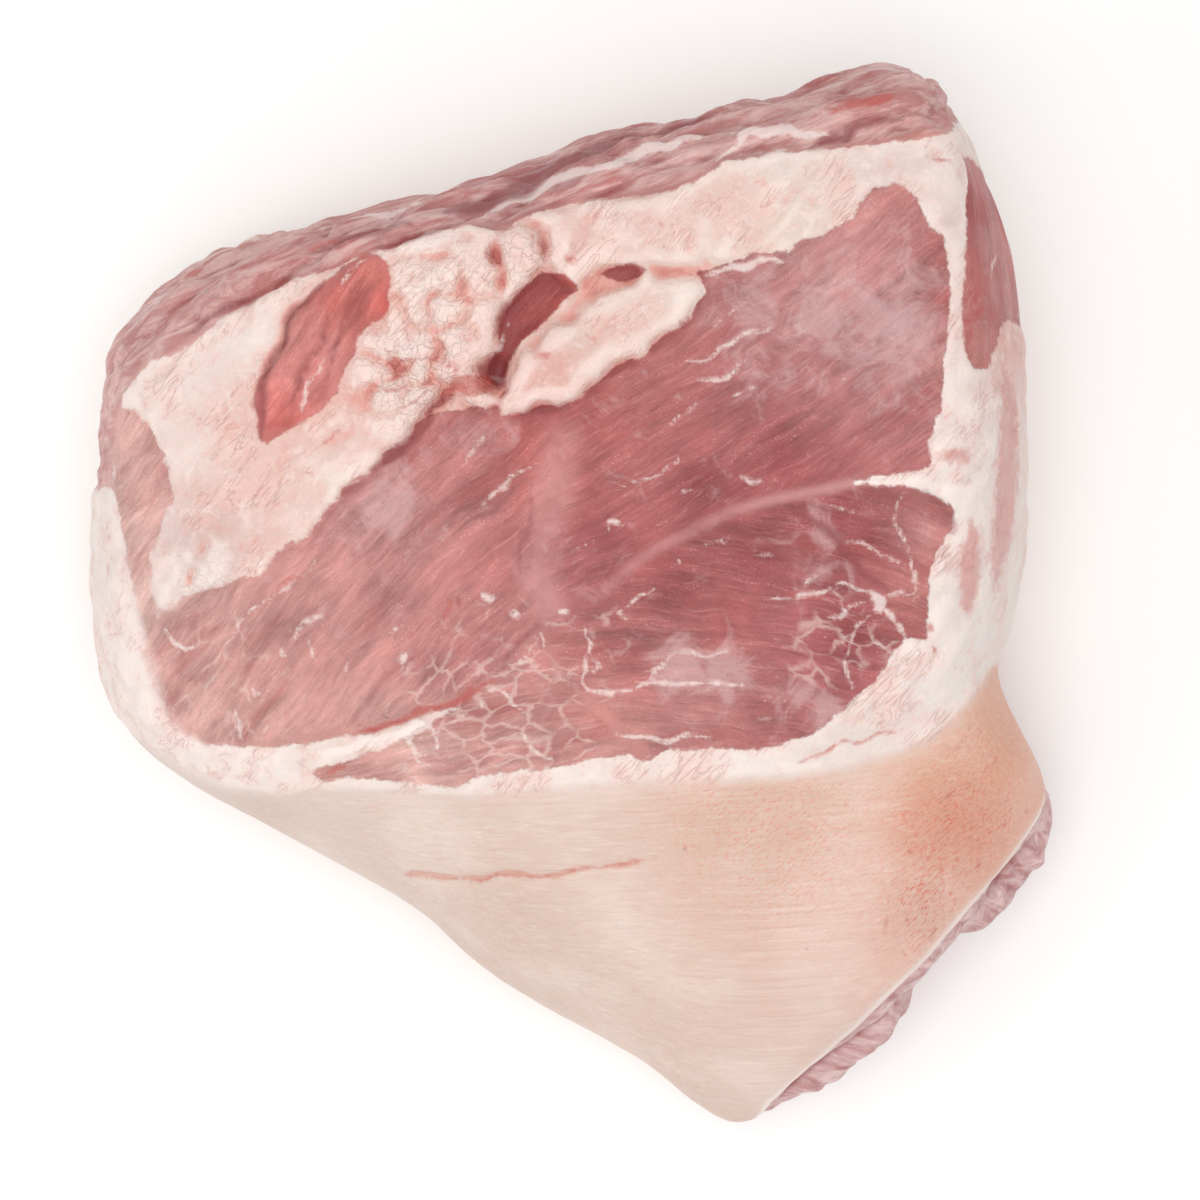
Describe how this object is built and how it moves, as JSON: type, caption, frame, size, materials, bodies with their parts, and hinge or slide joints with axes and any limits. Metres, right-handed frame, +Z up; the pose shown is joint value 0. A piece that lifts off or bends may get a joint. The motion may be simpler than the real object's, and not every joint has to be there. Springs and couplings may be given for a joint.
{
  "type": "pork leg",
  "caption": "Raw pork leg joint: a skinned cut face of lean meat and fat on top, rind round its underside and shank, and a sawn shank end.",
  "frame": {"origin": "middle of the footprint, on the surface that the leg lies on", "axes": "+Z up out of the cut face, +Y along the leg from the shank to the hip side, +X across the cut face to its high side"},
  "size_m": [0.238, 0.264, 0.118],
  "materials": {
    "raw_pork": "moist raw meat with ivory fat and dull tan rind"
  },
  "bodies": {
    "root": {"pork_leg": "raw_pork"}
  },
  "joints": []
}
